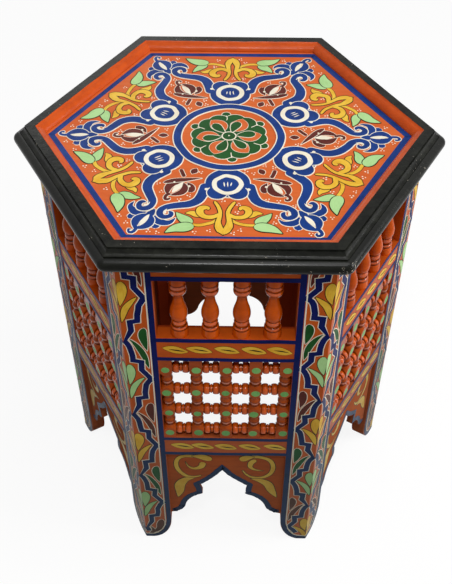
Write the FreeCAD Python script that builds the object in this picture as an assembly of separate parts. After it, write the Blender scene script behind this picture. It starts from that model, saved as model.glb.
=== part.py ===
import FreeCAD, Part
import math
import os

# A six-sided painted side table, in millimetres. The origin is on the floor under the centre and +Z is up.
# Six frames of stiles and rails meet in mitred corners that are the legs. Each frame holds a gallery of
# turned balusters, a pegged lattice and a cusped apron. Side 1 faces -Y, and the sides are numbered
# anticlockwise seen from above. Left and right are as seen from outside, facing the side.

# Body
sides = 6
side_width = 200.0            # outer face of one side, corner to corner
leg_height = 477.6            # floor to the underside of the top board
frame_thickness = 18.0
stile_width = 33.0
foot_flat = 8.0               # flat under each stile, measured from the corner
foot_round_height = 42.0      # how far up the rounded inner side of a foot reaches

# Heights down the side, from the underside of the board
top_rail_height = 23.1
gallery_height = 78.8
middle_rail_height = 32.5
lattice_height = 129.6
lower_rail_height = 32.5

# Joints between rails and stiles
tenon_length = 16.0
tenon_thickness = 6.0
tenon_shoulder = 4.0          # bare rail above and below a tenon
fit_gap = 0.15                # clearance on each face of a fit
end_gap = 0.6                 # room past the end of a tenon or peg

# Apron, let into grooves in the stiles and the lower rail
apron_thickness = 8.0
apron_setback = 4.0           # face of the apron behind the face of the frame
apron_tongue = 5.0            # how far the apron runs into a groove
apron_height = 128.5          # below the lower rail, at the stiles
apex_drop = 36.0              # lower rail to the point of the arch
chamber_drop = 31.0           # the drops below are from the point of the arch
chamber_half = 27.8           # half widths are from the middle of the side
cusp_drop = 50.0
cusp_half = 25.6
lobe_drop = 73.5
lobe_half = 47.5
apex_sag = 1.9                # how far each stretch bows from its chord
chamber_sag = 0.8
lobe_sag = 4.0
skirt_sag = 4.6
arch_lean = 4.5               # how far the point of the arch is cut left of the middle

# Gallery balusters
balusters_per_side = 4
baluster_margin = 22.0        # stile to the first axis
baluster_peg_radius = 3.5
peg_length = 8.0
foot_radius = 8.9
foot_rim = 2.4                # straight rim at the bottom of the foot
foot_height = 10.4
foot_top_radius = 8.4
shoulder_height = 3.5         # rounding above the foot
shoulder_bulge = 0.7
waist_radius = 6.5
bead_height = 7.8
bead_bulge = 1.0
belly_radius = 8.5
belly_rise = 9.8              # bottom of the vase to its widest point
neck_radius = 4.7
neck_flare = 4.8              # from the neck up to the collar
neck_hollow = 1.0
collar_radius = 7.6
collar_bead_height = 6.2
collar_bulge = 0.8
collar_beads = 2
cap_radius = 7.9
cap_height = 9.6

# Lattice
posts_per_side = 5
rows = 4
lattice_setback = 0.3         # face of the blocks behind the face of the frame
top_row_margin = 17.3         # middle rail to the middle of the first blocks
bottom_row_margin = 9.8       # lower rail to the middle of the last blocks
block_width = 13.0
block_height = 19.4
block_shoulder = 2.2          # length of the turned slope at the end of a block
post_neck_radius = 5.3
post_ring_radius = 6.2
post_ring_height = 8.6
post_peg_radius = 3.5
spindle_peg_radius = 2.0
spindle_peg_length = 4.0
spindle_end_radius = 4.8
spindle_end_length = 0.5
spindle_barrel_radius = 5.4   # at the ends of a barrel
spindle_barrel_bulge = 0.8
spindle_groove_radius = 4.0
spindle_groove_width = 0.8
spindle_ring_radius = 4.7
spindle_ring_width = 1.6

# Top
top_overhang = 17.32          # edge of the board beyond the faces of the frames
board_thickness = 14.0
board_corner_radius = 8.0
edge_flat = 0.2               # flat left in the middle of the rounded edge
moulding_ledge = 0.3          # flat left on the board outside the moulding
moulding_height = 8.4
moulding_lip = 2.0            # outer stretch that lies on the board
housing_depth = 1.0           # shallow bed for the moulding
outer_fillet = 1.5
cove_width = 4.2
cove_height = 5.1
cove_sag = 1.1
rim_step = 1.0
rim_width = 9.3               # flat rim
hollow_width = 3.0            # hollow inside the flat rim
hollow_drop = 1.5
hollow_sag = 0.35
ovolo_width = 6.2             # round from the hollow down to the panel
ovolo_drop = 5.9
ovolo_sag = 1.2

# Nails through the board, under the moulding
nail_offset = 55.0            # from the middle of a side
nail_radius = 1.2
nail_head_radius = 2.6
nail_head_height = 1.2
nail_length = 30.0
nail_point = 3.0              # length of the tapered point
nail_tip_radius = 0.3

# Places that follow from the sizes
cut_margin = 1.0              # how far a cutting shape runs past the face that it cuts
half_angle = math.pi / sides
side_half = side_width / 2
side_apothem = side_half / math.tan(half_angle)
face_y = -side_apothem
mid_depth = frame_thickness / 2
lattice_depth = lattice_setback + block_width / 2
opening_half = side_half - stile_width
gallery_top = leg_height - top_rail_height
gallery_bottom = gallery_top - gallery_height
lattice_top = gallery_bottom - middle_rail_height
lattice_bottom = lattice_top - lattice_height
apron_top = lattice_bottom - lower_rail_height
apron_end = apron_top - apron_height
apex_z = apron_top - apex_drop
board_top = leg_height + board_thickness
housing_floor = board_top - housing_depth
top_apothem = side_apothem + top_overhang
top_side = 2 * top_apothem * math.tan(half_angle)
bullnose_radius = (board_thickness - edge_flat) / 2
moulding_outer = top_apothem - bullnose_radius - moulding_ledge
moulding_width = cove_width + rim_step + rim_width + hollow_width + ovolo_width
moulding_inner = moulding_outer - moulding_width
post_pitch = (2 * opening_half - block_width) / (posts_per_side - 1)
spindle_length = post_pitch - block_width
origin = FreeCAD.Vector(0, 0, 0)
up = FreeCAD.Vector(0, 0, 1)


def spread(count, first, last):
    """Evenly spaced places from first to last."""
    return [first + (last - first) * step / (count - 1) for step in range(count)]


def box(x0, x1, depth0, depth1, z0, z1):
    """A block on side 1, with its depth measured inwards from the face of the frame."""
    corner = FreeCAD.Vector(x0, face_y + depth0, z0)
    return Part.makeBox(x1 - x0, depth1 - depth0, z1 - z0, corner)


def line(start, end):
    """A straight edge."""
    return Part.LineSegment(start, end).toShape()


def bowed(start, end, sag):
    """An arc that leaves its chord by sag, to the left of the way from start to end in the XZ plane."""
    chord = end - start
    aside = FreeCAD.Vector(-chord.z, 0, chord.x).normalize()
    middle = (start + end) * 0.5 + aside * sag
    return Part.Arc(start, middle, end).toShape()


def quarter_ellipse(start, corner, end):
    """A quarter of an ellipse, tangent at both ends to the lines through the corner."""
    curve = Part.BezierCurve()
    curve.setPoles([start, corner, end])
    curve.setWeight(2, math.sqrt(0.5))
    return curve.toShape()


def chain(points, closed=True):
    """Straight edges from point to point."""
    edges = [line(points[i], points[i + 1]) for i in range(len(points) - 1)]
    if closed:
        edges.append(line(points[-1], points[0]))
    return edges


def face_of(edges):
    """A flat face inside a closed run of edges."""
    return Part.Face(Part.Wire(edges))


def outline(steps):
    """Edges of a turned outline through (radius, height) steps. A third number bows the stretch to a step."""
    edges = []
    points = [FreeCAD.Vector(step[0], 0, step[1]) for step in steps]
    for i in range(1, len(steps)):
        if len(steps[i]) == 3:
            edges.append(bowed(points[i - 1], points[i], steps[i][2]))
        else:
            edges.append(line(points[i - 1], points[i]))
    return edges


def turned(edges):
    """A solid turned about Z from an outline that runs upwards."""
    first = edges[0].firstVertex().Point
    last = edges[-1].lastVertex().Point
    bottom = FreeCAD.Vector(0, 0, first.z)
    top = FreeCAD.Vector(0, 0, last.z)
    ends = [line(bottom, first), line(last, top), line(top, bottom)]
    return face_of([ends[0]] + edges + ends[1:]).revolve(origin, up, 360)


def on_side(shape, index):
    """A piece of side 1, carried round to another side."""
    return shape.rotated(origin, up, index * 360.0 / sides)


def rail_spans():
    """The bottom and top of each rail."""
    return {
        "top_rail": (gallery_top, leg_height),
        "middle_rail": (lattice_top, gallery_bottom),
        "lower_rail": (apron_top, lattice_bottom),
    }


def left_stile():
    """A mitred board with a rounded foot, mortises for three rails and a groove for the apron."""
    inner = -opening_half
    mitre = frame_thickness * math.tan(half_angle)
    section = [
        FreeCAD.Vector(-side_half, face_y, 0),
        FreeCAD.Vector(inner, face_y, 0),
        FreeCAD.Vector(inner, face_y + frame_thickness, 0),
        FreeCAD.Vector(-side_half + mitre, face_y + frame_thickness, 0),
    ]
    stile = face_of(chain(section)).extrude(up * leg_height)

    front = face_y - cut_margin
    foot_start = FreeCAD.Vector(-side_half + foot_flat, front, 0)
    foot_corner = FreeCAD.Vector(inner, front, 0)
    foot_end = FreeCAD.Vector(inner, front, foot_round_height)
    round_off = [quarter_ellipse(foot_start, foot_corner, foot_end)]
    round_off += chain([foot_end, foot_corner, foot_start], closed=False)
    depth = FreeCAD.Vector(0, frame_thickness + 2 * cut_margin, 0)
    cuts = [face_of(round_off).extrude(depth)]

    tenon_half = tenon_thickness / 2 + fit_gap
    for bottom, top in rail_spans().values():
        cuts.append(box(inner - tenon_length - end_gap, inner + cut_margin,
                        mid_depth - tenon_half, mid_depth + tenon_half,
                        bottom + tenon_shoulder - fit_gap, top - tenon_shoulder + fit_gap))
    cuts.append(box(inner - apron_tongue - end_gap, inner + cut_margin,
                    apron_setback - fit_gap, apron_setback + apron_thickness + fit_gap,
                    apron_end - fit_gap, apron_top))
    return stile.cut(Part.makeCompound(cuts))


def peg_holes(places, depth, radius, z0, z1):
    """Upright round holes at a depth behind the face of the frame."""
    height = z1 - z0
    centres = [FreeCAD.Vector(x, face_y + depth, z0) for x in places]
    return [Part.makeCylinder(radius + fit_gap, height, centre) for centre in centres]


def baluster_places():
    return spread(balusters_per_side, -opening_half + baluster_margin, opening_half - baluster_margin)


def post_places():
    return spread(posts_per_side, -opening_half + block_width / 2, opening_half - block_width / 2)


def row_heights():
    return spread(rows, lattice_bottom + bottom_row_margin, lattice_top - top_row_margin)


def nail_places():
    return [-nail_offset, nail_offset]


def rail(name):
    """A rail with a tenon at each end and the holes and grooves for what it carries."""
    bottom, top = rail_spans()[name]
    body = box(-opening_half, opening_half, 0, frame_thickness, bottom, top)
    tenon = box(-opening_half - tenon_length, opening_half + tenon_length,
                mid_depth - tenon_thickness / 2, mid_depth + tenon_thickness / 2,
                bottom + tenon_shoulder, top - tenon_shoulder)
    hole_depth = peg_length + end_gap
    from_below = (bottom - cut_margin, bottom + hole_depth)
    from_above = (top - hole_depth, top + cut_margin)
    cuts = []
    if name == "top_rail":
        cuts += peg_holes(baluster_places(), mid_depth, baluster_peg_radius, *from_below)
        cuts += [nail_at(x) for x in nail_places()]
    if name == "middle_rail":
        cuts += peg_holes(baluster_places(), mid_depth, baluster_peg_radius, *from_above)
        cuts += peg_holes(post_places(), lattice_depth, post_peg_radius, *from_below)
    if name == "lower_rail":
        cuts += peg_holes(post_places(), lattice_depth, post_peg_radius, *from_above)
        cuts.append(box(-opening_half, opening_half,
                        apron_setback - fit_gap, apron_setback + apron_thickness + fit_gap,
                        bottom - cut_margin, bottom + apron_tongue + end_gap))
    return body.fuse(tenon).cut(Part.makeCompound(cuts)).removeSplitter()


def apron():
    """A board with a tongue on three edges, cut below to a pointed arch with cusps and lobes."""
    front = face_y + apron_setback

    def at(x, z):
        return FreeCAD.Vector(x, front, z)

    tongue_half = opening_half + apron_tongue
    head_half = opening_half - fit_gap
    head = apron_top + apron_tongue
    frame = chain([
        at(-opening_half, apron_end), at(-tongue_half, apron_end), at(-tongue_half, apron_top),
        at(-head_half, apron_top), at(-head_half, head), at(head_half, head), at(head_half, apron_top),
        at(tongue_half, apron_top), at(tongue_half, apron_end), at(opening_half, apron_end),
    ], closed=False)

    def leaning(x, drop):
        share = 1 - drop / (apex_z - apron_end)
        return at(x - arch_lean * share, apex_z - drop)

    arch = []
    for hand in (1, -1):
        skirt = at(hand * opening_half, apron_end)
        lobe = leaning(hand * lobe_half, lobe_drop)
        cusp = leaning(hand * cusp_half, cusp_drop)
        chamber = leaning(hand * chamber_half, chamber_drop)
        apex = leaning(0, 0)
        arch += [
            bowed(skirt, lobe, hand * skirt_sag),
            bowed(lobe, cusp, -hand * lobe_sag),
            bowed(cusp, chamber, -hand * chamber_sag),
            bowed(chamber, apex, hand * apex_sag),
        ]
    outline = Part.__sortEdges__(frame + arch)
    return face_of(outline).extrude(FreeCAD.Vector(0, apron_thickness, 0))


def baluster():
    """A turned vase between a round-shouldered foot and a beaded collar, with a peg at each end."""
    waist = foot_height + shoulder_height
    vase = waist + bead_height
    cap = gallery_height - cap_height
    collar = cap - collar_beads * collar_bead_height
    neck = collar - neck_flare
    lower = outline([
        (baluster_peg_radius, -peg_length), (baluster_peg_radius, 0), (foot_radius, 0),
        (foot_radius, foot_rim), (foot_top_radius, foot_height),
        (waist_radius, waist, -shoulder_bulge), (waist_radius, vase, -bead_bulge),
    ])
    swell = Part.BSplineCurve()
    swell.interpolate([
        FreeCAD.Vector(waist_radius, 0, vase),
        FreeCAD.Vector(belly_radius, 0, vase + belly_rise),
        FreeCAD.Vector(neck_radius, 0, neck),
    ], InitialTangent=FreeCAD.Vector(1, 0, 1), FinalTangent=up)
    bead_tops = [collar + collar_bead_height * (k + 1) for k in range(collar_beads)]
    beads = [(collar_radius, top, -collar_bulge) for top in bead_tops]
    upper = outline([(neck_radius, neck), (collar_radius, collar, neck_hollow)] + beads + [
        (cap_radius, cap), (cap_radius, gallery_height), (baluster_peg_radius, gallery_height),
        (baluster_peg_radius, gallery_height + peg_length),
    ])
    return turned(lower + [swell.toShape()] + upper)


def balusters():
    """The balusters of one side, standing on the middle rail."""
    one = baluster()
    places = [FreeCAD.Vector(x, face_y + mid_depth, gallery_bottom) for x in baluster_places()]
    return Part.makeCompound([one.translated(place) for place in places])


def post():
    """A square bar turned down between its blocks to a neck with a ring, with a peg at each end."""
    outside = block_width                # past the corners of the bar
    shoulder = block_shoulder * (outside - post_neck_radius) / (block_width / 2 - post_neck_radius)
    heights = [height - lattice_bottom for height in row_heights()]
    steps = [(post_peg_radius, -peg_length), (post_peg_radius, 0), (outside, 0)]
    for low, high in zip(heights, heights[1:]):
        start = low + block_height / 2
        stop = high - block_height / 2
        ring = (start + stop - post_ring_height) / 2
        steps += [
            (outside, start - shoulder), (post_neck_radius, start), (post_neck_radius, ring),
            (post_neck_radius, ring + post_ring_height, post_neck_radius - post_ring_radius),
            (post_neck_radius, stop), (outside, stop + shoulder),
        ]
    steps += [
        (outside, lattice_height), (post_peg_radius, lattice_height),
        (post_peg_radius, lattice_height + peg_length),
    ]
    corner = FreeCAD.Vector(-block_width / 2, -block_width / 2, -peg_length)
    bar = Part.makeBox(block_width, block_width, lattice_height + 2 * peg_length, corner)
    return bar.common(turned(outline(steps)))


def lattice_posts():
    """The posts of one side, bored for the pegs of the spindles between them."""
    one = post()
    across = FreeCAD.Vector(1, 0, 0)
    hole_depth = spindle_peg_length + end_gap
    posts = []
    for x in post_places():
        holes = []
        for z in row_heights():
            for hand in (-1, 1):
                beside = x + hand * post_pitch
                if abs(beside) < opening_half:
                    start = x + hand * block_width / 2 - (hole_depth if hand > 0 else 0)
                    centre = FreeCAD.Vector(start, face_y + lattice_depth, z)
                    holes.append(Part.makeCylinder(spindle_peg_radius + fit_gap, hole_depth, centre, across))
        place = FreeCAD.Vector(x, face_y + lattice_depth, lattice_bottom)
        posts.append(one.translated(place).cut(Part.makeCompound(holes)))
    return Part.makeCompound(posts)


def spindle():
    """Two barrels with a low ring between them and a peg at each end, lying along X."""
    ring = (spindle_length - spindle_ring_width) / 2
    barrel_end = ring - spindle_groove_width
    half = [
        (spindle_peg_radius, -spindle_peg_length), (spindle_peg_radius, 0), (spindle_end_radius, 0),
        (spindle_end_radius, spindle_end_length), (spindle_barrel_radius, spindle_end_length),
        (spindle_barrel_radius, barrel_end, -spindle_barrel_bulge), (spindle_groove_radius, barrel_end),
        (spindle_groove_radius, ring), (spindle_ring_radius, ring),
    ]
    other_half = [
        (spindle_ring_radius, spindle_length - ring), (spindle_groove_radius, spindle_length - ring),
        (spindle_groove_radius, spindle_length - barrel_end),
        (spindle_barrel_radius, spindle_length - barrel_end),
        (spindle_barrel_radius, spindle_length - spindle_end_length, -spindle_barrel_bulge),
        (spindle_end_radius, spindle_length - spindle_end_length), (spindle_end_radius, spindle_length),
        (spindle_peg_radius, spindle_length), (spindle_peg_radius, spindle_length + spindle_peg_length),
    ]
    return turned(outline(half + other_half)).rotated(origin, FreeCAD.Vector(0, 1, 0), 90)


def lattice_spindles():
    """The spindles of one side, pegged between neighbouring posts."""
    one = spindle()
    starts = [x + block_width / 2 for x in post_places()[:-1]]
    places = [FreeCAD.Vector(x, face_y + lattice_depth, z) for x in starts for z in row_heights()]
    return [one.translated(place) for place in places]


def nail_at(x):
    """A nail with a flat head flush with the floor of the moulding's bed."""
    bottom = housing_floor - nail_length
    head = housing_floor - nail_head_height
    nail = turned(outline([
        (nail_tip_radius, bottom), (nail_radius, bottom + nail_point), (nail_radius, head),
        (nail_head_radius, head), (nail_head_radius, housing_floor),
    ]))
    return nail.translated(FreeCAD.Vector(x, face_y + mid_depth, 0))


def hexagon(apothem, z0, z1):
    """A prism with the table's number of sides, one of them facing -Y."""
    radius = apothem / math.cos(half_angle)
    turns = [-math.pi / 2 + half_angle * (2 * k + 1) for k in range(sides)]
    points = [FreeCAD.Vector(radius * math.cos(turn), radius * math.sin(turn), z0) for turn in turns]
    return face_of(chain(points)).extrude(up * (z1 - z0))


def top_board(nails):
    """A board with round corners and edge, a shallow bed for the moulding and holes for the nails."""
    board = hexagon(top_apothem, leg_height, board_top)
    corners = [edge for edge in board.Edges if edge.BoundBox.ZLength > board_thickness / 2]
    board = board.makeFillet(board_corner_radius, corners)
    arrises = [edge for edge in board.Edges if edge.BoundBox.ZLength < edge_flat]
    board = board.makeFillet(bullnose_radius, arrises)
    bed = hexagon(moulding_outer - moulding_lip + fit_gap, housing_floor, board_top + cut_margin)
    field = hexagon(moulding_inner - fit_gap, housing_floor - cut_margin, board_top + 2 * cut_margin)
    return board.cut(Part.makeCompound([bed.cut(field)] + nails)).removeSplitter()


def top_moulding():
    """One strip of the rim: cove outside, flat rim, and a hollow and a round down to the panel."""
    length = 2 * top_side

    def at(inset, height):
        return FreeCAD.Vector(-length / 2, -moulding_outer + inset, board_top + height)

    def bowed_across(start, end, sag):
        chord = end - start
        aside = FreeCAD.Vector(0, -chord.z, chord.y).normalize()
        return Part.Arc(start, (start + end) * 0.5 + aside * sag, end).toShape()

    cove_top = outer_fillet + cove_height
    rim = cove_width + rim_step
    arris = rim + rim_width
    hollow = arris + hollow_width
    hollow_height = moulding_height - hollow_drop
    toe = hollow + ovolo_width
    toe_height = hollow_height - ovolo_drop
    edges = [line(at(0, 0), at(0, outer_fillet))]
    edges.append(bowed_across(at(0, outer_fillet), at(cove_width, cove_top), -cove_sag))
    edges += chain([
        at(cove_width, cove_top), at(rim, cove_top), at(rim, moulding_height), at(arris, moulding_height),
    ], closed=False)
    edges.append(bowed_across(at(arris, moulding_height), at(hollow, hollow_height), -hollow_sag))
    edges.append(bowed_across(at(hollow, hollow_height), at(toe, toe_height), ovolo_sag))
    edges += chain([
        at(toe, toe_height), at(toe, -housing_depth), at(moulding_lip, -housing_depth),
        at(moulding_lip, 0), at(0, 0),
    ], closed=False)
    strip = face_of(edges).extrude(FreeCAD.Vector(length, 0, 0))

    reach = 2 * top_apothem
    half = reach * math.tan(half_angle)
    bottom = housing_floor - cut_margin
    wedge = [
        FreeCAD.Vector(0, 0, bottom), FreeCAD.Vector(-half, -reach, bottom),
        FreeCAD.Vector(half, -reach, bottom),
    ]
    height = housing_depth + moulding_height + 2 * cut_margin
    return strip.common(face_of(chain(wedge)).extrude(up * height))


def table_pieces():
    """Every piece under its own name."""
    stile = left_stile()
    one_side = {
        "left_stile": stile,
        "right_stile": stile.mirror(origin, FreeCAD.Vector(1, 0, 0)),
        "top_rail": rail("top_rail"),
        "middle_rail": rail("middle_rail"),
        "lower_rail": rail("lower_rail"),
        "apron": apron(),
        "balusters": balusters(),
        "lattice_posts": lattice_posts(),
        "top_moulding": top_moulding(),
    }
    spindles = lattice_spindles()
    nails = [nail_at(x) for x in nail_places()]
    pieces = {}
    for index in range(sides):
        for name, shape in one_side.items():
            pieces[f"side{index + 1}_{name}"] = on_side(shape, index)
    all_nails = [on_side(nail, index) for index in range(sides) for nail in nails]
    all_spindles = [on_side(one, index) for index in range(sides) for one in spindles]
    pieces["lattice_spindles"] = Part.makeCompound(all_spindles)
    pieces["top_nails"] = Part.makeCompound(all_nails)
    pieces["top_board"] = top_board(all_nails)
    return pieces


os.makedirs("parts", exist_ok=True)
for name, shape in table_pieces().items():
    shape.exportStep(f"parts/{name}.step")
    print(name, len(shape.Solids), "solids", round(shape.Volume / 1000, 2), "cm3")
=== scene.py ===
import math
import bpy
import numpy as np
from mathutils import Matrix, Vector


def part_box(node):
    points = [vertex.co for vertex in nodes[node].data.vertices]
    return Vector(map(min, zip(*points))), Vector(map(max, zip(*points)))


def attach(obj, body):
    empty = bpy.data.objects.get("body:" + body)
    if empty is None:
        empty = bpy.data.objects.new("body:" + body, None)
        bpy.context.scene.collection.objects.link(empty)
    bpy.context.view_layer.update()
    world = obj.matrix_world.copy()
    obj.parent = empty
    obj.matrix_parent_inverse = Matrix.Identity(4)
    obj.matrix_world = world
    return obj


# A six-sided painted side table. The joined wood comes from the frame, and this script adds the paint:
# thin films of brush strokes laid on the top, the legs, the rails, the lattice and the aprons.

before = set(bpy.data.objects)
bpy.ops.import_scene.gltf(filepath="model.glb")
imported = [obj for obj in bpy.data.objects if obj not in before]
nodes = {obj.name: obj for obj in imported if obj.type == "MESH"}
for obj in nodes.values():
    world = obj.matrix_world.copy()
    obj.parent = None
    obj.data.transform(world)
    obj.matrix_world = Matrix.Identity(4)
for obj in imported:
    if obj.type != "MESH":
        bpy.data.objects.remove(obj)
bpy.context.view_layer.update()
scene = bpy.context.scene
print("frame loaded:", len(nodes), "nodes")

mm = 0.001
rng = np.random.default_rng(21)


# Places from the frame, in millimetres

def boxOf(node):
    return [np.array(corner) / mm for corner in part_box(node)]


boardTop = boxOf("top_board")[1][2]
tableTop = boxOf("side1_top_moulding")[1][2]
legTop = boxOf("side1_left_stile")[1][2]
faceOut = -boxOf("side1_middle_rail")[0][1]              # axis of the table to the face of a side
sideHalf = faceOut * math.tan(math.radians(30))
openHalf = -boxOf("side1_left_stile")[1][0]              # middle of a side to the stile
blockDepth = faceOut + boxOf("side1_lattice_posts")[0][1]
apronDepth = faceOut + boxOf("side1_apron")[0][1]
railSpans = {name: [corner[2] for corner in boxOf("side1_" + name)]
             for name in ("top_rail", "middle_rail", "lower_rail")}
apronTop = railSpans["lower_rail"][0]


# Brush strokes

brush = {
    "sink": 0.05,         # how far a film reaches into the wood
    "coat": 0.06,         # thickness of one coat of paint
    "nudge": 0.0025,      # strokes of one coat lie this far apart, so that no two faces coincide
    "nudges": 23,         # before the heights begin again
    "bevel": 0.08,        # slope at the edge of a film
    "step": 1.1,          # spacing of the points along a stroke
    "crowding": 0.8,      # how much closer they lie at its ends
    "fewest": 9,          # points on a short one
    "wobble": 0.22,       # wander of the hand
    "pressure": 0.04,     # share by which widths vary
    "thinnest": 0.06,     # half width below which no stroke goes
    "topShift": (0.1, -2.6),          # the painter's centre on the top, from the middle of the board
    "keepOff": (0.02, 0.6, 0.1),      # room left on a side at its corners, the floor and the board
}
films = {}
covered = []              # x, y and half width of every stroke on the top


def onBoard(flat, lift):
    return np.column_stack([flat, boardTop + lift])


def onTop(flat, lift):
    # The painter's centre lies a little nearer to side 1 than the middle of the board
    return onBoard(flat + brush["topShift"], lift)


def onSide(side, depth=0.0):
    # Across and up on side 1, held inside its edges, then carried round the axis by 60 degrees a side
    turn = math.radians(60 * (side - 1))
    corner, floor, board = brush["keepOff"]

    def place(flat, lift):
        x = np.clip(flat[:, 0], corner - sideHalf, sideHalf - corner)
        y = depth - faceOut - lift
        z = np.clip(flat[:, 1], floor, legTop - board)
        turnedX = x * math.cos(turn) - y * math.sin(turn)
        turnedY = x * math.sin(turn) + y * math.cos(turn)
        return np.column_stack([turnedX, turnedY, z])

    return place


def addFilm(name, place, flat, raised, layer, quads, triangles, grain):
    # Raised points lie at the height of their coat, and the others just inside the wood
    film = films.setdefault(name, {"points": [], "faces": [], "grain": [], "count": 0, "coats": {}})
    film["coats"][layer] = film["coats"].get(layer, 0) + 1
    height = brush["coat"] * layer + brush["nudge"] * (film["coats"][layer] % brush["nudges"])
    film["points"].append(place(flat, np.where(raised, height, -brush["sink"])) * mm)
    film["faces"] += (quads + film["count"]).tolist()
    film["faces"] += (triangles + film["count"]).tolist()
    film["grain"].append(grain)
    film["count"] += len(flat)


def smoothPath(points, closed):
    # Catmull-Rom curve: each stretch is a cubic whose slopes are half the chords between the neighbours
    if closed:
        before, after = points[-1:], points[:2]
    else:
        before, after = 2 * points[:1] - points[1:2], 2 * points[-1:] - points[-2:-1]
    knots = np.vstack([before, points, after])
    a, b, c, d = knots[:-3], knots[1:-2], knots[2:-1], knots[3:]
    t = np.linspace(0, 1, 16, endpoint=False)[:, None, None]
    curve = (b + t * (c - a) / 2 + t ** 2 * (a - 2.5 * b + 2 * c - d / 2)
             + t ** 3 * (d - a + 3 * (b - c)) / 2)
    curve = curve.transpose(1, 0, 2).reshape(-1, 2)
    return np.vstack([curve, curve[:1] if closed else points[-1:]])


def lengthAlong(path):
    return np.concatenate([[0], np.cumsum(np.linalg.norm(np.diff(path, axis=0), axis=1))])


def unit(way):
    return way / np.linalg.norm(way, axis=-1, keepdims=True)


def evenPath(path, closed):
    # Points at even distances along a path, crowded towards the ends of an open one
    along = lengthAlong(path)
    share = np.linspace(0, 1, max(brush["fewest"], int(along[-1] / brush["step"]) + 2))
    if closed:
        share = share[:-1]
    else:
        share = share - brush["crowding"] * np.sin(2 * np.pi * share) / (2 * np.pi)
    even = np.column_stack([np.interp(share * along[-1], along, path[:, k]) for k in (0, 1)])
    return even, share, along[-1]


def sideways(path, closed):
    # Mitred normals: square to the mean of the two directions at a point, longer where the path bends
    ahead = np.roll(path, -1, 0) - path
    behind = path - np.roll(path, 1, 0)
    if not closed:
        ahead[-1] = behind[-1]
        behind[0] = ahead[0]
    ahead, behind = unit(ahead), unit(behind)
    way = ahead + behind
    way = way / np.maximum(np.linalg.norm(way, axis=1, keepdims=True), 1e-6)
    stretch = 1 / np.clip((way * ahead).sum(1), 0.6, 1)
    return np.column_stack([-way[:, 1], way[:, 0]]) * stretch[:, None]


def ribbon(name, place, path, half, layer, closed=False, tone=0.0):
    # A four-cornered section carried along the path: wide at the wood, a little narrower on its coat
    aside = sideways(path, closed)
    wide = aside * half[:, None]
    narrow = aside * np.maximum(half - brush["bevel"], half * 0.5)[:, None]
    flat = np.stack([path + wide, path + narrow, path - narrow, path - wide], axis=1).reshape(-1, 2)
    count = len(path)
    raised = np.tile([False, True, True, False], count)
    run = np.arange(count if closed else count - 1)[:, None]
    corner = np.arange(4)[None, :]
    here, there = run * 4, (run + 1) % count * 4
    beside = (corner + 1) % 4
    quads = np.stack([here + corner, here + beside, there + beside, there + corner], axis=2)
    quads = quads.reshape(-1, 4)
    if not closed:
        last = 4 * count - 4
        quads = np.vstack([quads, [[3, 2, 1, 0]], [[last, last + 1, last + 2, last + 3]]])
    across = np.stack([half, half * 0.9, -half * 0.9, -half], axis=1).reshape(-1)
    along = np.repeat(lengthAlong(path), 4)
    addFilm(name, place, flat, raised, layer, quads, np.zeros((0, 3), int),
            np.column_stack([across, along, np.full(len(flat), tone)]))


def roundEnd(way):
    return np.sqrt(1 - (1 - np.clip(way, 0, 1)) ** 2)


# Width along a stroke, from its share of the way and the length in half widths
forms = {
    "even": lambda share, reach: roundEnd(share * reach) * roundEnd((1 - share) * reach),
    "leaf": lambda share, reach: np.abs(np.sin(np.pi * share)) ** 0.75,
    "bud": lambda share, reach: np.abs(np.sin(np.pi * share ** 0.62)) ** 0.8,           # round start
    "drop": lambda share, reach: np.abs(np.sin(np.pi * (1 - share) ** 0.62)) ** 0.8,    # round end
    "tail": lambda share, reach: roundEnd(share * reach) * (1 - share) ** 0.6,          # long taper
}


def stroke(colour, area, points, width, form="even", layer=1, edge=None, rim=0.8, closed=False,
           sharp=False):
    # One sweep of the brush through the points. An edge colour goes on first, wider by the rim.
    # A sharp stroke has straight stretches, and one with corners keeps each bend and its full width.
    points = np.asarray(points, float)
    points = points + rng.normal(0, brush["wobble"], points.shape)
    if sharp == "corners":
        path, share = points, np.linspace(0, 1, len(points))
    else:
        path, share, length = evenPath(points if sharp else smoothPath(points, closed), closed)
    widths = np.atleast_1d(width)
    half = np.interp(share, np.linspace(0, 1, len(widths)), widths) / 2
    half = half * (1 + rng.normal(0, brush["pressure"]))
    if not closed and sharp != "corners":
        half = half * forms[form](share, length / half.max())
    half = np.maximum(half, brush["thinnest"])
    tone = rng.uniform(-1, 1)
    name, place = area
    if edge:
        outer, outerHalf = path, half + rim
        if not closed:
            first, last = unit(path[0] - path[1]), unit(path[-1] - path[-2])
            outer = np.vstack([path[0] + first * rim, path[0] + first * rim * 0.6, path,
                               path[-1] + last * rim * 0.6, path[-1] + last * rim])
            start, end = half[[0, -1]] + rim * 0.75
            thin = brush["thinnest"]
            outerHalf = np.concatenate([[thin, start], half + rim, [end, thin]])
        ribbon(name + edge, place, outer, outerHalf, layer, closed, tone)
        layer += 1
    ribbon(name + colour, place, path, half, layer, closed, tone)
    if name == "top":
        covered.append(np.column_stack([path, half + rim]))


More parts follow.
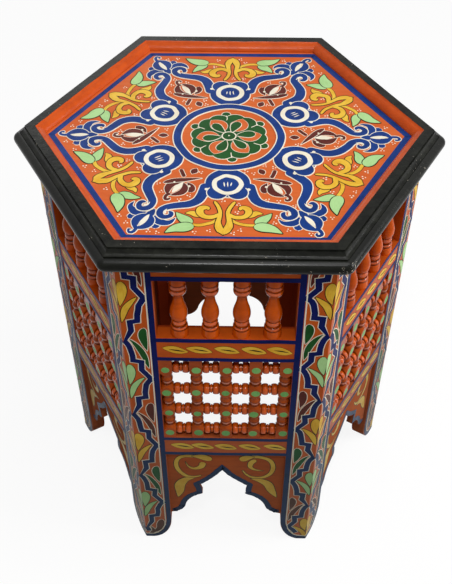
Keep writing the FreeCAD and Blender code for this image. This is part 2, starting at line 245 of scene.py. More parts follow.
def dab(colour, area, centre, radius, layer=1, edge=None, rim=0.8, corners=36):
    # A round dab: a fan from its centre to a rim of the given radius, over the same rim in the wood
    name, place = area
    ray = circle((0, 0), 1, corners)
    tone = rng.uniform(-1, 1)
    coats = [(colour, radius, layer)]
    if edge:
        coats = [(edge, radius + rim, layer), (colour, radius, layer + 1)]
    for coat, reach, level in coats:
        middle = np.array([centre], float)
        flat = np.vstack([middle, middle + ray * (reach - brush["bevel"]), middle + ray * reach, middle])
        raised = np.arange(len(flat)) <= corners
        here = np.arange(corners)
        there = (here + 1) % corners
        fan = np.column_stack([np.zeros(corners, int), here + 1, there + 1])
        under = corners + 1
        base = np.column_stack([np.full(corners, corners + under), there + under, here + under])
        wall = np.column_stack([here + 1, here + under, there + under, there + 1])
        grain = np.column_stack([flat - centre, np.full(len(flat), tone)])
        addFilm(name + coat, place, flat, raised, level, wall, np.vstack([fan, base]), grain)
    if name == "top":
        covered.append(np.array([[centre[0], centre[1], radius + rim]]))


def facing(points, degrees, hand=1):
    # Aside and outward in a sector of the top, to x and y; aside is to the right, looking outward
    turn = math.radians(degrees)
    local = np.atleast_2d(np.asarray(points, float)) * [hand, 1]
    x = local[:, 0] * math.sin(turn) + local[:, 1] * math.cos(turn)
    y = local[:, 1] * math.sin(turn) - local[:, 0] * math.cos(turn)
    return np.column_stack([x, y])


def circle(centre, radius, corners=14):
    turn = np.linspace(0, 2 * np.pi, corners, endpoint=False)
    return np.asarray(centre) + radius * np.column_stack([np.cos(turn), np.sin(turn)])


# The painted top: sectors centred on the corners and on the edges of the hexagon

top = ("top", onTop)
cornerTurns = [60 * k for k in range(6)]
edgeTurns = [30 + 60 * k for k in range(6)]

border = {
    # Distance of the line from the axis on each edge, anticlockwise from the right back one
    "apothems": (156.4, 152.8, 153.8, 156.4, 155.6, 156.4),
    # Widths at the corners and the middles of the edges in turn
    "widths": [6.6, 7.8, 7.0, 6.0, 5.6, 5.4, 6.0, 6.4, 5.2, 3.2, 4.0, 5.8, 6.6],
}


def paintBorder():
    # A blue line just inside the moulding: straight runs between the crossings of its edge lines
    normals = np.vstack([facing([(0, 1)], turn) for turn in edgeTurns])
    corners = []
    for k in range(6):
        pair = [k - 1, k]
        corners.append(np.linalg.solve(normals[pair], np.array(border["apothems"])[pair]))
    stroke("Blue", ("top", onBoard), corners + corners[:1], border["widths"], closed=True, sharp=True)


rosette = {
    "turn": 6, "petalTurn": 2, "jitter": 2,               # degrees
    "disc": 30.5, "lobeRing": 27.5, "lobeSplit": 12.5, "lobe": 11.0,
    "budRing": 38.0, "bud": 4.4, "link": [(0, 27.5), (0.4, 31), (-0.3, 36)], "linkWidth": 1.0,
    "gap": [(0, 9.0), (1.5, 21.0), (0, 33.0)], "gapWidth": 17.5,
    "petal": [(0, 7.0), (-0.8, 16.75), (-0.6, 26.5)], "petalWidth": 10.2,
    "heart": 6.4, "seed": 1.0, "seedAt": (0, 0.4),
}


def paintRosette():
    r = rosette
    dab("DarkGreen", top, (0, 0), r["disc"], 4)
    for k in range(6):
        turn = r["turn"] + 60 * k + rng.normal(0, r["jitter"])
        dab("DarkGreen", top, facing([(0, r["budRing"])], turn + 30)[0], r["bud"], 1, "Cream")
        for split in (-r["lobeSplit"], r["lobeSplit"]):
            dab("DarkGreen", top, facing([(0, r["lobeRing"])], turn + split)[0], r["lobe"], 3, "Cream")
        stroke("Cream", top, facing(r["link"], turn + 30), r["linkWidth"], layer=5)
        stroke("Orange", top, facing(r["gap"], turn), r["gapWidth"], "leaf", 5, "Cream", rim=0.5)
        petal = facing(r["petal"], turn + r["petalTurn"])
        stroke("DarkGreen", top, petal, r["petalWidth"], "drop", 7, "Cream")
    dab("DarkGreen", top, (0, 0), r["heart"], 9, "Cream", rim=1.2)
    dab("Cream", top, r["seedAt"], r["seed"], 11, corners=10)


medallion = {
    "disc": 75.6, "radius": 21.2, "lobe": 9.6, "lobeAt": (9.6, 90.0), "cover": 18.6,
    "out": 78.0, "ring": 12.7, "ringWidth": 5.0, "dot": (19.8, 85.4), "dotRadius": 1.9,
    "dashes": ((-3.8, 6.0), (0.0, 8.0), (3.8, 7.4)), "dashWidth": 1.4,     # place aside and length
}
circleBand = {"radius": 52.0, "width": 8.0}


def paintMedallion(turn):
    m = medallion
    disc, centre = facing([(0, m["disc"]), (0, m["out"])], turn)
    dab("Blue", top, disc, m["radius"], 7, "Cream", rim=1.0, corners=56)
    for hand in (-1, 1):
        dab("Blue", top, facing([m["lobeAt"]], turn, hand)[0], m["lobe"], 9, "Cream", rim=1.0)
        dot = facing([m["dot"]], turn, hand)[0]
        dab("Cream", top, dot, m["dotRadius"], 11, corners=14)
    dab("Blue", top, disc, m["cover"], 10, corners=48)
    stroke("Cream", top, circle(centre, m["ring"]), m["ringWidth"], layer=11, closed=True)
    for aside, length in m["dashes"]:
        near, far = m["out"] - length / 2, m["out"] + length / 2
        dash = [(aside, near), (aside * 0.9, m["out"]), (aside * 0.8, far)]
        stroke("Cream", top, facing(dash, turn), m["dashWidth"], "leaf", 11)


arm = {
    "path": [(21.0, 76.5), (24.4, 86.0), (27.0, 95.0), (27.0, 102.6), (23.2, 110.4), (15.6, 117.6),
             (8.8, 123.6), (5.8, 130.4), (7.8, 136.4), (12.8, 137.6), (16.6, 134.2), (16.2, 129.8),
             (12.8, 128.4)],
    "widths": [10.4, 10.2, 10.0, 9.8, 9.4, 8.8, 8.2, 7.6, 6.8, 6.0, 5.0, 4.0],
    "curl": [(9.4, 126.4), (9.2, 129.8), (10.4, 132.4), (12.2, 132.2)],
    "curlWidths": [0.9, 1.4, 2.8, 4.0],
}
lily = {
    # Petals on both sides: points, width, form and layer
    "petals": [([(7.5, 144.0), (12.0, 149.6), (14.4, 155.2)], 7.8, "drop", 1),
               ([(4.5, 141.0), (12.5, 144.6), (18.8, 143.4), (22.2, 139.0), (22.8, 133.2)],
                8.0, "bud", 3),
               ([(0.6, 140.8), (5.2, 147.6), (5.6, 155.0), (0.4, 164.4)], 8.4, "leaf", 5)],
    "calyx": [(0.0, 143.6), (0.0, 138.8), (0.0, 132.6)], "calyxWidth": 10.6,
    "tip": [(0.4, 160.0), (-1.2, 165.0), (-0.4, 169.6), (2.8, 170.8), (4.4, 168.2), (2.6, 166.6)],
    "tipWidths": [4.4, 3.8, 3.4, 3.0, 2.6],
    "lens": [(0.2, 141.4), (-0.6, 149.8), (-1.2, 158.8)], "lensWidth": 5.2,
    "dot": (2.2, 168.4), "dotRadius": 0.9,
}


def paintLily(turn):
    for hand in (-1, 1):
        for points, width, form, layer in lily["petals"]:
            stroke("Blue", top, facing(points, turn, hand), width, form, layer, "Cream")
        stroke("Blue", top, facing(arm["path"], turn, hand), arm["widths"], "even", 7, "Cream", rim=1.0)
        stroke("Cream", top, facing(arm["curl"], turn, hand), arm["curlWidths"], "even", 9)
    stroke("Blue", top, facing(lily["calyx"], turn), lily["calyxWidth"], "tail", 5, "Cream")
    stroke("Blue", top, facing(lily["tip"], turn), lily["tipWidths"], "even", 5, "Cream")
    stroke("Cream", top, facing(lily["lens"], turn), lily["lensWidth"], "leaf", 9)
    dab("Cream", top, facing([lily["dot"]], turn)[0], lily["dotRadius"], 9, corners=10)


maroonBud = {
    # Stem, oval, side petal, two petals and the tip: points, width, form, layer and rim
    "strokes": [([(-2.6, 78.6), (-7.4, 74.4), (-12.4, 70.0)], 3.8, "even", 1, 0.6),
                ([(0.8, 70.8), (0.6, 66.0), (0.4, 61.2)], 7.0, "leaf", 1, 0.7),
                ([(4.6, 83.6), (10.8, 87.6), (15.0, 95.4)], 7.4, "drop", 1, 0.6),
                ([(0.8, 86.0), (-6.0, 92.0), (-7.2, 100.4), (-2.2, 109.0)], 7.6, "leaf", 3, 0.6),
                ([(1.0, 86.0), (6.6, 92.0), (7.4, 99.8), (1.2, 108.4)], 7.6, "leaf", 3, 0.6),
                ([(-0.4, 106.0), (-2.6, 111.0), (-0.8, 115.2), (2.6, 114.8), (2.8, 111.8)],
                 [3.6, 3.4, 3.0, 2.4], "even", 3, 0.6)],
    "lens": [(1.0, 85.6), (0.8, 95.0), (0.2, 104.4)], "lensWidth": 5.8,
    "across": [(-14.8, 96.2), (-8.0, 89.0), (1.5, 80.6), (13.2, 71.6)], "acrossWidth": 6.0,
    "dots": ((1.0, 112.8, 0.9), (9.0, 88.4, 1.4), (-6.4, 90.2, 1.1)),     # aside, outward and radius
}
budHands = (1, -1, 1, 1, -1, 1)       # which way each corner's bud leans


def paintMaroonBud(turn, hand):
    b = maroonBud
    for points, width, form, layer, rim in b["strokes"]:
        stroke("Maroon", top, facing(points, turn, hand), width, form, layer, "Cream", rim)
    stroke("Cream", top, facing(b["lens"], turn, hand), b["lensWidth"], "leaf", 5)
    stroke("Maroon", top, facing(b["across"], turn, hand), b["acrossWidth"], "bud", 6, "Cream", rim=0.6)
    for aside, out, radius in b["dots"]:
        dab("Cream", top, facing([(aside, out)], turn, hand)[0], radius, 8, corners=10)


fleur = {
    # How far each one sits aside, anticlockwise from the right back one
    "shifts": (2.4, 2.0, 0.6, -1.0, 2.6, 1.4),
    "limb": [(0.0, 149.2), (1.6, 145.6), (3.4, 141.6), (4.9, 136.8), (5.0, 131.2), (4.2, 125.2),
             (3.8, 118.2), (5.2, 111.0), (9.4, 102.6)],
    "limbWidths": [0.4, 7.0, 7.2, 5.0, 4.2, 3.8, 3.6, 3.4, 3.0],
    "scroll": [(4.6, 120.0), (8.6, 124.4), (13.8, 125.6), (19.0, 123.4), (22.0, 119.0), (21.6, 114.0),
               (18.4, 111.4), (15.4, 112.4), (14.6, 115.0)],
    "scrollWidths": [3.2, 4.6, 5.4, 5.4, 6.0, 7.0, 7.0, 5.6, 3.4],
    "tip": [(18.0, 124.6), (24.4, 122.2), (29.8, 119.2), (35.2, 120.0)], "tipWidths": 6.6,
    "tendril": [(5.4, 127.0), (9.8, 131.8), (15.5, 134.6), (22.0, 136.0), (29.4, 135.4)],
    "tendrilWidths": [3.0, 3.8, 3.8, 3.4],
    "leaves": [[(29.0, 134.8), (34.2, 129.6), (39.2, 124.8), (43.8, 119.0)],
               [(27.0, 138.0), (35.4, 138.8), (44.0, 141.2), (52.4, 146.8)]],
    "leafWidths": (9.8, 11.8),
    # The yellow parts in the order of painting, with form, layer and rim
    "parts": [("tendril", "even", 1, 0.5), ("tip", "leaf", 1, 0.85), ("scroll", "even", 3, 0.85),
              ("limb", "even", 3, 0.9)],
}


def paintFleur(turn, shift):
    f = fleur

    def placed(points, hand):
        return facing(np.array(points) * [hand, 1] + [shift, 0], turn)

    for hand in (-1, 1):
        for part, form, layer, rim in f["parts"]:
            stroke("Yellow", top, placed(f[part], hand), f[part + "Widths"], form, layer, "Outline", rim)
        for k, leaf in enumerate(f["leaves"]):
            width, layer = f["leafWidths"][k], 3 + 2 * k
            stroke("LightGreen", top, placed(leaf, hand), width, "bud", layer, "Outline", rim=1.0)


speckles = {
    "tries": 4000, "clusters": 150,
    "clear": 2.3, "apart": 7.6,               # least distance from strokes and from other groups
    "inner": 58.0, "reach": 147.0, "span": 170.0,
    "spread": 1.7, "radius": 0.78,
}


def paintSpeckles():
    # Groups of three cream dots where a random place is clear of every stroke and of the other groups
    s = speckles
    tries = rng.uniform(-1, 1, (s["tries"], 2)) * s["span"]
    ways = [facing([(0, 1)], turn)[0] for turn in edgeTurns[:3]]
    across = np.abs(np.column_stack([tries @ way for way in ways])).max(1)
    radius = np.linalg.norm(tries, axis=1)
    tries = tries[(across < s["reach"]) & (radius > s["inner"])]
    marks = np.vstack(covered)
    gap = np.array([(np.linalg.norm(marks[:, :2] - spot, axis=1) - marks[:, 2]).min() for spot in tries])
    kept = []
    for spot in tries[gap > s["clear"]]:
        if all(np.linalg.norm(spot - other) > s["apart"] for other in kept):
            kept.append(spot)
    for spot in kept[:s["clusters"]]:
        tilt = rng.uniform(0, 2 * np.pi)
        for k in range(3):
            turn = tilt + 2 * np.pi * k / 3
            place = spot + s["spread"] * np.array([math.cos(turn), math.sin(turn)])
            dab("Cream", top, place, s["radius"] * rng.uniform(0.8, 1.2), 1, corners=8)
    print("speckles on the top:", len(kept))


paintBorder()
for turn, shift in zip(edgeTurns, fleur["shifts"]):
    paintMedallion(turn)
    paintFleur(turn, shift)
for turn, hand in zip(cornerTurns, budHands):
    paintLily(turn)
    paintMaroonBud(turn, hand)
stroke("Blue", top, circle((0, 0), circleBand["radius"], 24), circleBand["width"], layer=11,
       edge="Cream", rim=1.1, closed=True)
paintRosette()
paintSpeckles()
print("top painted:", sum(film["count"] for film in films.values()), "points")


# The painted legs: a stepped blue ribbon between the corner and a border, with petals on both sides

stilePaint = {
    "field": 25.0,                    # width between the corner and the cream line
    "creamLine": 25.7, "creamWidth": 1.3,
    "band": 29.6, "bandWidth": 6.0,
    "ribbonWidth": 6.3, "ribbonRim": 0.8,
    "footFlat": 8.0, "footRise": 42.0, "footEdge": 33.0,
    "period": 117.7,                  # length that the petals were drawn for
    "widthFollows": 0.15,             # share of the stretch that the widths of petals follow
    # Above the top of the leg and above the floor: bounds of the ribbon, and of the ends of petals
    "ribbonRoom": (8, 9), "petalRoom": (-6, 14),
}
# Length of a wave and first touch on the inner line, from the front left corner anticlockwise
waves = [(116.7, 70.0), (101.5, 66.5), (109.0, 60.0), (113.0, 69.0), (105.0, 66.0), (111.0, 58.0)]
halfWave = {"bulge": 0.34, "bulgeEnd": 0.50, "steps": [(0.36, 0.53), (0.375, 0.74)]}
cornerPetals = [([(3.4, -23), (4.6, -12), (3.6, -1), (1.8, 9)], 9.4, "bud"),
                ([(18.0, -3), (11.6, 4), (5.6, 14), (1.2, 32)], 6.6, "leaf")]
innerPetals = [([(21.4, -19), (20.0, -9), (20.8, 2), (22.8, 14)], 8.8, "bud"),
               ([(6.6, -3), (13.0, 6), (19.0, 21), (23.2, 41)], 6.4, "leaf")]


def footLine(inset):
    # Down the inner edge, round the quarter ellipse of the foot and along the floor, inset from the edge
    p = stilePaint
    wide, tall = p["footEdge"] - p["footFlat"], p["footRise"]
    turn = np.linspace(np.pi / 2, 0, 24)
    curve = np.column_stack([p["footFlat"] + wide * np.sin(turn), tall - tall * np.cos(turn)])
    normal = np.column_stack([np.sin(turn) / wide, -np.cos(turn) / tall])
    curve -= inset * unit(normal)
    return np.vstack([[p["footEdge"] - inset, legTop], curve, [-1.0, inset]])


def fieldWidth(z):
    # Room between the corner and the cream line: full above the foot, narrower in its rounding
    line = footLine(stilePaint["footEdge"] - stilePaint["field"])[::-1]
    return np.interp(z, line[1:, 1], line[1:, 0])


def paintStile(side, hand):
    p = stilePaint
    area = ("side", onSide(side))
    corner = (side if hand > 0 else side - 1) % 6
    period, first = waves[corner]

    def onFace(points):
        # From the corner inwards and below the table top, to across and up
        z = tableTop - points[:, 1]
        inward = points[:, 0] * fieldWidth(z) / p["field"]
        return np.column_stack([hand * (sideHalf - inward), z])

    # The ribbon goes by a quarter ellipse and two steps from the inner line to the corner, and back
    turn = np.linspace(0, np.pi / 2, 7)
    inwards = 1 - halfWave["bulge"] * np.sin(turn)
    downwards = halfWave["bulgeEnd"] * (1 - np.cos(turn))
    half = np.vstack([np.column_stack([inwards, downwards]), halfWave["steps"]])
    wave = np.vstack([half * [1, 0.5], half * [-1, 0.5] + [1, 0.5]])
    count = int(tableTop / period) + 3
    starts = [first + period * (k - 1) for k in range(count)]
    ribbonPath = np.vstack([wave * [p["field"], period] + [0, start] for start in starts])
    above, floor = p["ribbonRoom"]
    down = ribbonPath[:, 1]
    seen = (down > tableTop - legTop - above) & (down < tableTop - floor)
    stroke("Navy", area, onFace(ribbonPath[seen]), p["ribbonWidth"], layer=3, edge="Cream",
           rim=p["ribbonRim"], sharp="corners")

    stretch = period / p["period"]
    swelling = 1 + p["widthFollows"] * (stretch - 1)
    above, floor = p["petalRoom"]
    for k in range(-1, count):
        cornerColour = ("Yellow", "LightGreen")[k % 2]
        innerColour = ("Maroon", "DarkGreen")[k % 2]
        cells = [(first + period * k, cornerColour, "Outline", 0.8, cornerPetals),
                 (first + period * (k - 0.5), innerColour, "Cream", 0.7, innerPetals)]
        for middle, colour, edge, rim, petals in cells:
            for points, width, form in petals:
                drawn = np.array(points) * [1, stretch] + [0, middle]
                if drawn[-1, 1] < tableTop - legTop - above or drawn[0, 1] > tableTop - floor:
                    continue
                stroke(colour, area, onFace(drawn), width * swelling, form, 1, edge, rim)

    for inset, width, colour, layer in ((p["footEdge"] - p["creamLine"], p["creamWidth"], "Cream", 5),
                                        (p["footEdge"] - p["band"], p["bandWidth"], "Navy", 6)):
        line = footLine(inset)
        line[:, 0] = hand * (sideHalf - line[:, 0])
        stroke(colour, area, line, width, layer=layer, sharp=True)


# The painted rails: blue lines along the edges and a row of yellow leaves

railPaint = {
    "line": 5.0, "reach": 70.0, "places": (-49.0, -24.5, 1.5, 27.5, 53.0),
    "leaf": [(-12.6, 2.8), (-4.3, 1.4), (4.3, -0.8), (12.6, -3.0)], "leafWidth": 10.0,
    "vein": [(-6.2, 1.3), (1.8, -0.2), (9.4, -1.9)], "veinWidth": 1.9, "jitter": (0.8, 0.4),
}


def paintRails(side):
    p = railPaint
    area = ("side", onSide(side))
    lines = [railSpans["top_rail"][0] + p["line"] / 2]
    for name in ("middle_rail", "lower_rail"):
        low, high = railSpans[name]
        lines += [low + p["line"] / 2, high - p["line"] / 2]
        for x in p["places"]:
            shift = np.array([x, (low + high) / 2]) + rng.normal(0, p["jitter"])
            leaf, vein = np.array(p["leaf"]) + shift, np.array(p["vein"]) + shift
            stroke("Yellow", area, leaf, p["leafWidth"], "leaf", 1, "Outline", rim=0.45)
            stroke("Outline", area, vein, p["veinWidth"], "leaf", 3)
    for z in lines:
        line = [(x, z) for x in np.linspace(-p["reach"], p["reach"], 8)]
        stroke("Navy", area, line, p["line"], layer=6)


# A green dot on the face of every lattice block

latticePaint = {
    "posts": 5, "rows": 4, "block": 13.0, "below": 9.8, "above": 17.3, "dot": 4.6,
    "jitter": 0.5, "dotRange": (0.9, 1.08),
    "rises": (-1.2, -0.6, -0.3, 2.4),     # dots above the middles of their blocks, row by row
}


def paintLattice(side):
    p = latticePaint
    area = ("side", onSide(side, blockDepth))
    low, high = railSpans["lower_rail"][1] + p["below"], railSpans["middle_rail"][0] - p["above"]
    edge = openHalf - p["block"] / 2
    for x in np.linspace(-edge, edge, p["posts"]):
        for z in np.linspace(low, high, p["rows"]) + p["rises"]:
            centre = np.array([x, z]) + rng.normal(0, p["jitter"], 2)
            dab("DotGreen", area, centre, p["dot"] * rng.uniform(*p["dotRange"]), corners=16)


# The painted aprons: a blue band along the cusped edge and a pair of yellow scrolls

apronPaint = {
    "band": 7.0, "bandWidth": 6.5,
    # Ends of the arcs of half the arch from its point outwards: across, below the rail, bow of the arc
    "arch": [(0.0, 36.0, 0.0), (27.8, 67.0, -1.9), (25.6, 86.0, -0.8), (47.5, 109.5, 4.0),
             (67.0, 128.5, -4.6)],
    "lean": 4.5,                      # the point is this far left of the middle
    # Strokes of the left and the right scroll: outwards and below the rail, widths, form and layer
    "scrolls": {
        -1: [([(29.0, 47.8), (39.0, 51.1), (47.3, 47.8), (54.8, 37.8), (57.0, 26.1), (54.8, 14.4),
               (47.3, 8.8), (34.8, 8.8)], [1.6, 3.4, 4.6, 5.0, 5.0, 5.0, 4.8, 4.8], "even", 1),
             ([(39.0, 8.4), (26.5, 10.6), (16.6, 16.0)], 10.0, "drop", 3),
             ([(26.4, 20.5), (28.6, 29.6), (36.5, 33.8), (43.2, 29.0), (46.2, 20.6)],
              [7.6, 8.2, 6.4, 4.0, 1.4], "tail", 1),
             ([(36.5, 52.6), (47.8, 56.8), (54.0, 67.8), (55.2, 81.0), (57.0, 94.0)], 12.0, "leaf", 3)],
        1: [([(18.5, 36.1), (23.5, 44.4), (31.0, 50.3), (42.7, 49.6), (51.8, 41.1), (54.3, 27.8),
              (49.3, 15.3), (37.7, 9.0), (24.3, 9.4)],
             [1.2, 2.6, 3.6, 4.4, 5.0, 5.0, 4.8, 4.8, 5.0], "even", 1),
            ([(32.0, 8.6), (23.0, 11.0), (16.5, 15.6)], 10.0, "drop", 3),
            ([(34.0, 14.5), (28.8, 20.5), (28.2, 28.6), (33.5, 34.4), (43.4, 36.6)],
             [6.4, 8.4, 7.6, 5.4, 1.8], "tail", 1),
            ([(29.0, 52.8), (41.0, 56.4), (49.3, 64.4), (53.5, 76.1), (60.0, 92.0)], 10.4, "leaf", 3)],
    },
}


def archLine():
    # Arcs through the ends: the chord, moved sideways by a parabola that reaches the bow in the middle
    knots = np.array(apronPaint["arch"])
    t = np.linspace(0, 1, 22)[:, None]
    runs = []
    for start, end in zip(knots[:-1], knots[1:]):
        chord = end[:2] - start[:2]
        aside = unit(np.array([chord[1], -chord[0]]))
        runs.append(start[:2] + chord * t + aside * end[2] * 4 * t * (1 - t))
    half = np.vstack([run[:-1] for run in runs] + [runs[-1][-1:]])
    whole = np.vstack([half[:0:-1] * [-1, 1], half])
    share = (knots[-1, 1] - whole[:, 1]) / (knots[-1, 1] - knots[0, 1])
    return whole - np.column_stack([apronPaint["lean"] * share, np.zeros(len(whole))])


def paintApron(side):
    p = apronPaint
    area = ("side", onSide(side, apronDepth))
    arch = archLine()
    # The middle of the band: the arch moved into the wood, without the points that then lie too near it
    middle = arch - sideways(arch, False) * p["band"] / 2
    gap = np.linalg.norm(middle[:, None] - arch[None], axis=2).min(1)
    middle = middle[(gap > p["band"] / 2 * 0.97) & (np.abs(middle[:, 0]) < openHalf - 1)]
    stroke("Navy", area, middle * [1, -1] + [0, apronTop], p["bandWidth"], layer=5, sharp=True)
    for hand, scroll in p["scrolls"].items():
        for points, widths, form, layer in scroll:
            drawn = np.array(points) * [hand, -1] + [0, apronTop]
            stroke("Yellow", area, drawn, widths, form, layer, "Outline", rim=0.75)


for side in range(1, 7):
    for hand in (-1, 1):
        paintStile(side, hand)
    paintRails(side)
    paintLattice(side)
    paintApron(side)
print("sides painted:", sum(film["count"] for film in films.values()), "points")


# Finishes

def srgb(code):
    # A colour written as a hexadecimal triplet, to linear light
    parts = np.array([int(code[k:k + 2], 16) for k in (0, 2, 4)]) / 255
    linear = np.where(parts <= 0.04045, parts / 12.92, ((parts + 0.055) / 1.055) ** 2.4)
    return (*linear, 1.0)


def feed(tree, node, inputs):
    # A socket is linked, and any other value is set
    for name, value in inputs.items():
        if isinstance(value, bpy.types.NodeSocket):
            tree.links.new(value, node.inputs[name])
        else:
            node.inputs[name].default_value = value


def addNode(tree, kind, settings=None, inputs=None):
    made = tree.nodes.new("ShaderNode" + kind)
    for name, value in (settings or {}).items():
        setattr(made, name, value)
    feed(tree, made, inputs or {})
    return made


def calc(tree, operation, *values, clamp=False):
    settings = {"operation": operation, "use_clamp": clamp}
    return addNode(tree, "Math", settings, dict(enumerate(values))).outputs[0]


def reduced(tree, operation, values):
    whole = values[0]
    for value in values[1:]:
        whole = calc(tree, operation, whole, value)
    return whole


def mixColour(tree, share, first, second):
    return addNode(tree, "Mix", {"data_type": "RGBA"}, {0: share, 6: first, 7: second}).outputs[2]


def mixValue(tree, share, first, second):
    return addNode(tree, "Mix", {"data_type": "FLOAT"}, {0: share, 2: first, 3: second}).outputs[0]


def mapRange(tree, value, low, high, toLow=0.0, toHigh=1.0):
    limits = {"Value": value, "From Min": low, "From Max": high, "To Min": toLow, "To Max": toHigh}
    return addNode(tree, "MapRange", {"interpolation_type": "SMOOTHSTEP"}, limits).outputs[0]


def mapPlace(tree, value, span, toLow=0.0, toHigh=1.0):
    # The same for a place in metres and a span in millimetres
    return mapRange(tree, value, span[0] * mm, span[1] * mm, toLow, toHigh)


def noise(tree, vector, scale, detail=3.0, roughness=0.55):
    inputs = {"Vector": vector, "Scale": scale, "Detail": detail, "Roughness": roughness}
    return addNode(tree, "TexNoise", None, inputs).outputs["Fac"]


def stretched(tree, vector, scale):
    return addNode(tree, "Mapping", None, {"Vector": vector, "Scale": scale}).outputs[0]


def dotProduct(tree, vector, way):
    settings = {"operation": "DOT_PRODUCT"}
    return addNode(tree, "VectorMath", settings, {0: vector, 1: way}).outputs["Value"]


def heightOf(tree, where):
    return addNode(tree, "SeparateXYZ", None, {0: where}).outputs["Z"]


def newGroup(name, inputs, outputs):
    tree = bpy.data.node_groups.new(name, "ShaderNodeTree")
    for socket, kind in inputs.items():
        tree.interface.new_socket(socket, in_out="INPUT", socket_type="NodeSocket" + kind)
    for socket, kind in outputs.items():
        tree.interface.new_socket(socket, in_out="OUTPUT", socket_type="NodeSocket" + kind)
    return tree, tree.nodes.new("NodeGroupInput"), tree.nodes.new("NodeGroupOutput")


def brushedPaintGroup():
    # Streaks along the brush and cloudy thin places, as colour, roughness and height
    inputs = {"Full": "Color", "Thin": "Color", "Unevenness": "Float", "Streaks": "Vector",
              "Clouds": "Vector"}
    outputs = {"Colour": "Color", "Roughness": "Float", "Height": "Float"}
    tree, given, made = newGroup("brushedPaint", inputs, outputs)
    streak = noise(tree, given.outputs["Streaks"], 1.0, 4.0, 0.6)
    cloud = noise(tree, given.outputs["Clouds"], 1.0, 2.0, 0.5)
    both = calc(tree, "ADD", streak, cloud)
    share = calc(tree, "MULTIPLY", mapRange(tree, both, 0.75, 1.35), given.outputs["Unevenness"])
    colour = mixColour(tree, share, given.outputs["Full"], given.outputs["Thin"])
    roughness = mapRange(tree, both, 0.6, 1.5, 0.3, 0.5)
    feed(tree, made, {"Colour": colour, "Roughness": roughness, "Height": streak})
    return tree


def hexDistanceGroup():
    # Distance from the table's axis square to the nearest side, the largest of three projections, and
    # the place along that side from its middle
    outputs = {"Distance": "Float", "Along": "Float"}
    tree, given, made = newGroup("hexDistance", {"Point": "Vector"}, outputs)
    longest, along = None, None
    for turn in (-90, -30, 30):
        out = (math.cos(math.radians(turn)), math.sin(math.radians(turn)), 0)
        size = calc(tree, "ABSOLUTE", dotProduct(tree, given.outputs["Point"], out))
        run = dotProduct(tree, given.outputs["Point"], (-out[1], out[0], 0))
        if longest is None:
            longest, along = size, run
        else:
            along = mixValue(tree, calc(tree, "GREATER_THAN", size, longest), along, run)
            longest = calc(tree, "MAXIMUM", longest, size)
    feed(tree, made, {"Distance": longest, "Along": along})
    return tree


# Painted shade on the lower part of the sides: a share of grey that grows from one height to the other,
# so that they turn darker towards the floor
shadeBelow = {"heights": (380, 100), "share": 0.48, "grey": "33463E"}


def shadeBelowGroup():
    tree, given, made = newGroup("shadedBelow", {"Clean": "Color", "Point": "Vector"}, {"Colour": "Color"})
    height = heightOf(tree, given.outputs["Point"])
    share = mapPlace(tree, height, shadeBelow["heights"], 0.0, shadeBelow["share"])
    feed(tree, made, {"Colour": mixColour(tree, share, given.outputs["Clean"], srgb(shadeBelow["grey"]))})
    return tree


brushedPaint = brushedPaintGroup()
hexDistance = hexDistanceGroup()
shadedBelow = shadeBelowGroup()


def startMaterial(name):
    material = bpy.data.materials.new(name)
    material.use_nodes = True
    tree = material.node_tree
    where = addNode(tree, "TexCoord").outputs["Object"]
    return material, tree, tree.nodes["Principled BSDF"], where


def placeGroup(tree, group, inputs):
    node = tree.nodes.new("ShaderNodeGroup")
    node.node_tree = group
    feed(tree, node, inputs)
    return node.outputs


def hexPlace(tree, where):
    return placeGroup(tree, hexDistance, {"Point": where})


def brushed(tree, where, colours, unevenness, streaks, clouds, grain=None):
    # Streaks and clouds by their scales; the streaks follow the grain of a stroke where there is one
    full, thin = [srgb(code) for code in colours]
    return placeGroup(tree, brushedPaint, {
        "Full": full, "Thin": thin, "Unevenness": unevenness,
        "Streaks": stretched(tree, where if grain is None else grain, streaks),
        "Clouds": stretched(tree, where, (clouds, clouds, clouds)),
    })


def finish(tree, shader, colour, roughness, height, bump, shine, depth=0.0004):
    relief = {"Strength": bump, "Distance": depth, "Height": height}
    lumps = addNode(tree, "Bump", None, relief).outputs[0]
    feed(tree, shader, {"Base Color": colour, "Roughness": roughness, "Normal": lumps,
                        "Specular IOR Level": shine})


# Paint of the films: full and thin colour, and unevenness
filmPaints = {
    "Blue": ("0F387F", "08265D", 0.75),
    "Navy": ("01135A", "00093C", 0.75),
    "Cream": ("EFE9D6", "D8CBAE", 0.5),
    "Yellow": ("E8BF43", "D49A22", 0.8),
    "LightGreen": ("AED693", "93C07A", 0.6),
    "DarkGreen": ("1B5220", "0F3812", 0.7),
    "Maroon": ("5E241C", "421411", 0.7),
    "Outline": ("15130B", "281F0E", 0.5),
    "Orange": ("D16731", "C25525", 0.6),
    "DotGreen": ("7FB96A", "5F9A50", 0.7),
}
filmBrush = {
    "streaks": (1.3, 0.16, 7.0), "clouds": 60,
    "bump": 0.25, "shine": {"top": 0.1, "side": 0.04},
}


def filmMaterial(area, colour):
    full, thin, unevenness = filmPaints[colour]
    b = filmBrush
    material, tree, shader, where = startMaterial(area + "Brushed" + colour)
    strokeGrain = addNode(tree, "Attribute", {"attribute_name": "grain"}).outputs["Vector"]
    paint = brushed(tree, where, (full, thin), unevenness, b["streaks"], b["clouds"], strokeGrain)
    colour = paint["Colour"]
    # Painted shade: on the sides the films turn darker and greyer towards the floor
    if area == "side":
        colour = placeGroup(tree, shadedBelow, {"Clean": colour, "Point": where})["Colour"]
    finish(tree, shader, colour, paint["Roughness"], paint["Height"], b["bump"], b["shine"][area])
    return material


framePaint = {
    "colours": ("C05414", "A84610"), "inner": "8A2E0C", "unevenness": 0.85,
    "upright": (170, 170, 14), "level": (60, 60, 200),   # streaks on the stiles and on the rails
    "clouds": 26,
    "innerFrom": (159.0, 156.0), "varnishTo": (172.8, 171.2),   # distances from the axis
    "bump": 0.3, "shine": 0.06,
}


